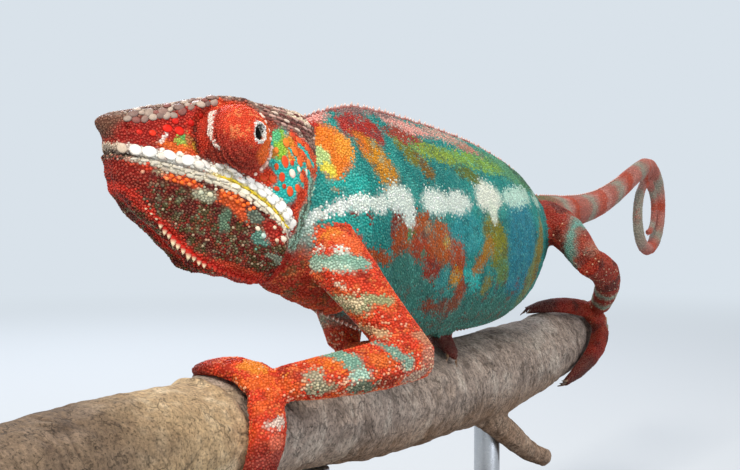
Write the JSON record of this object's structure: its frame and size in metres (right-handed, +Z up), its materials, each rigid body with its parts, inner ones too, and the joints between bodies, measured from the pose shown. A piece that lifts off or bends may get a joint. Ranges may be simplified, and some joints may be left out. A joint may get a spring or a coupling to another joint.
{
  "type": "panther chameleon",
  "caption": "Life-size male panther chameleon walking along a short cut branch, held over a flat base by two rods; a still display model.",
  "frame": {"origin": "middle of the stand base's underside", "axes": "+Z up, the animal faces -Y along its branch, and its left side is +X"},
  "size_m": [0.124, 0.3745, 0.148],
  "materials": {
    "skin_teal": "matte granular scaled skin, teal with orange bands and a pale stripe",
    "skin_red": "matte granular scaled skin, orange red",
    "skin_rose": "matte granular scaled skin, banded rose and teal",
    "eye": "wet and glossy",
    "claw": "satin horn",
    "bark": "dry cracked bark with sawn ends",
    "stand_wood": "dark stained and waxed",
    "stand_steel": "fine turned"
  },
  "bodies": {
    "root": {"head": "skin_red", "lower_jaw": "skin_red", "turret_left": "skin_red", "eye_left": "eye", "turret_right": "skin_red", "eye_right": "eye", "neck": "skin_red", "trunk": "skin_teal", "tail_1": "skin_rose", "tail_2": "skin_rose", "tail_3": "skin_rose", "tail_4": "skin_rose", "tail_5": "skin_rose", "tail_6": "skin_rose", "foot_front_left": "skin_red", "upper_leg_front_left": "skin_red", "lower_leg_front_left": "skin_red", "toes_inner_front_left": "skin_red", "toes_outer_front_left": "skin_red", "claw_front_left_1": "claw", "claw_front_left_2": "claw", "claw_front_left_3": "claw", "claw_front_left_4": "claw", "claw_front_left_5": "claw", "foot_front_right": "skin_red", "upper_leg_front_right": "skin_red", "lower_leg_front_right": "skin_red", "toes_inner_front_right": "skin_red", "toes_outer_front_right": "skin_red", "claw_front_right_1": "claw", "claw_front_right_2": "claw", "claw_front_right_3": "claw", "claw_front_right_4": "claw", "claw_front_right_5": "claw", "foot_hind_left": "skin_red", "upper_leg_hind_left": "skin_red", "lower_leg_hind_left": "skin_red", "toes_inner_hind_left": "skin_red", "toes_outer_hind_left": "skin_red", "claw_hind_left_1": "claw", "claw_hind_left_2": "claw", "claw_hind_left_3": "claw", "claw_hind_left_4": "claw", "claw_hind_left_5": "claw", "foot_hind_right": "skin_red", "upper_leg_hind_right": "skin_red", "lower_leg_hind_right": "skin_red", "toes_inner_hind_right": "skin_red", "toes_outer_hind_right": "skin_red", "claw_hind_right_1": "claw", "claw_hind_right_2": "claw", "claw_hind_right_3": "claw", "claw_hind_right_4": "claw", "claw_hind_right_5": "claw", "perch_branch": "bark", "stand_base": "stand_wood", "stand_rod_front": "stand_steel", "stand_rod_back": "stand_steel"}
  },
  "joints": []
}
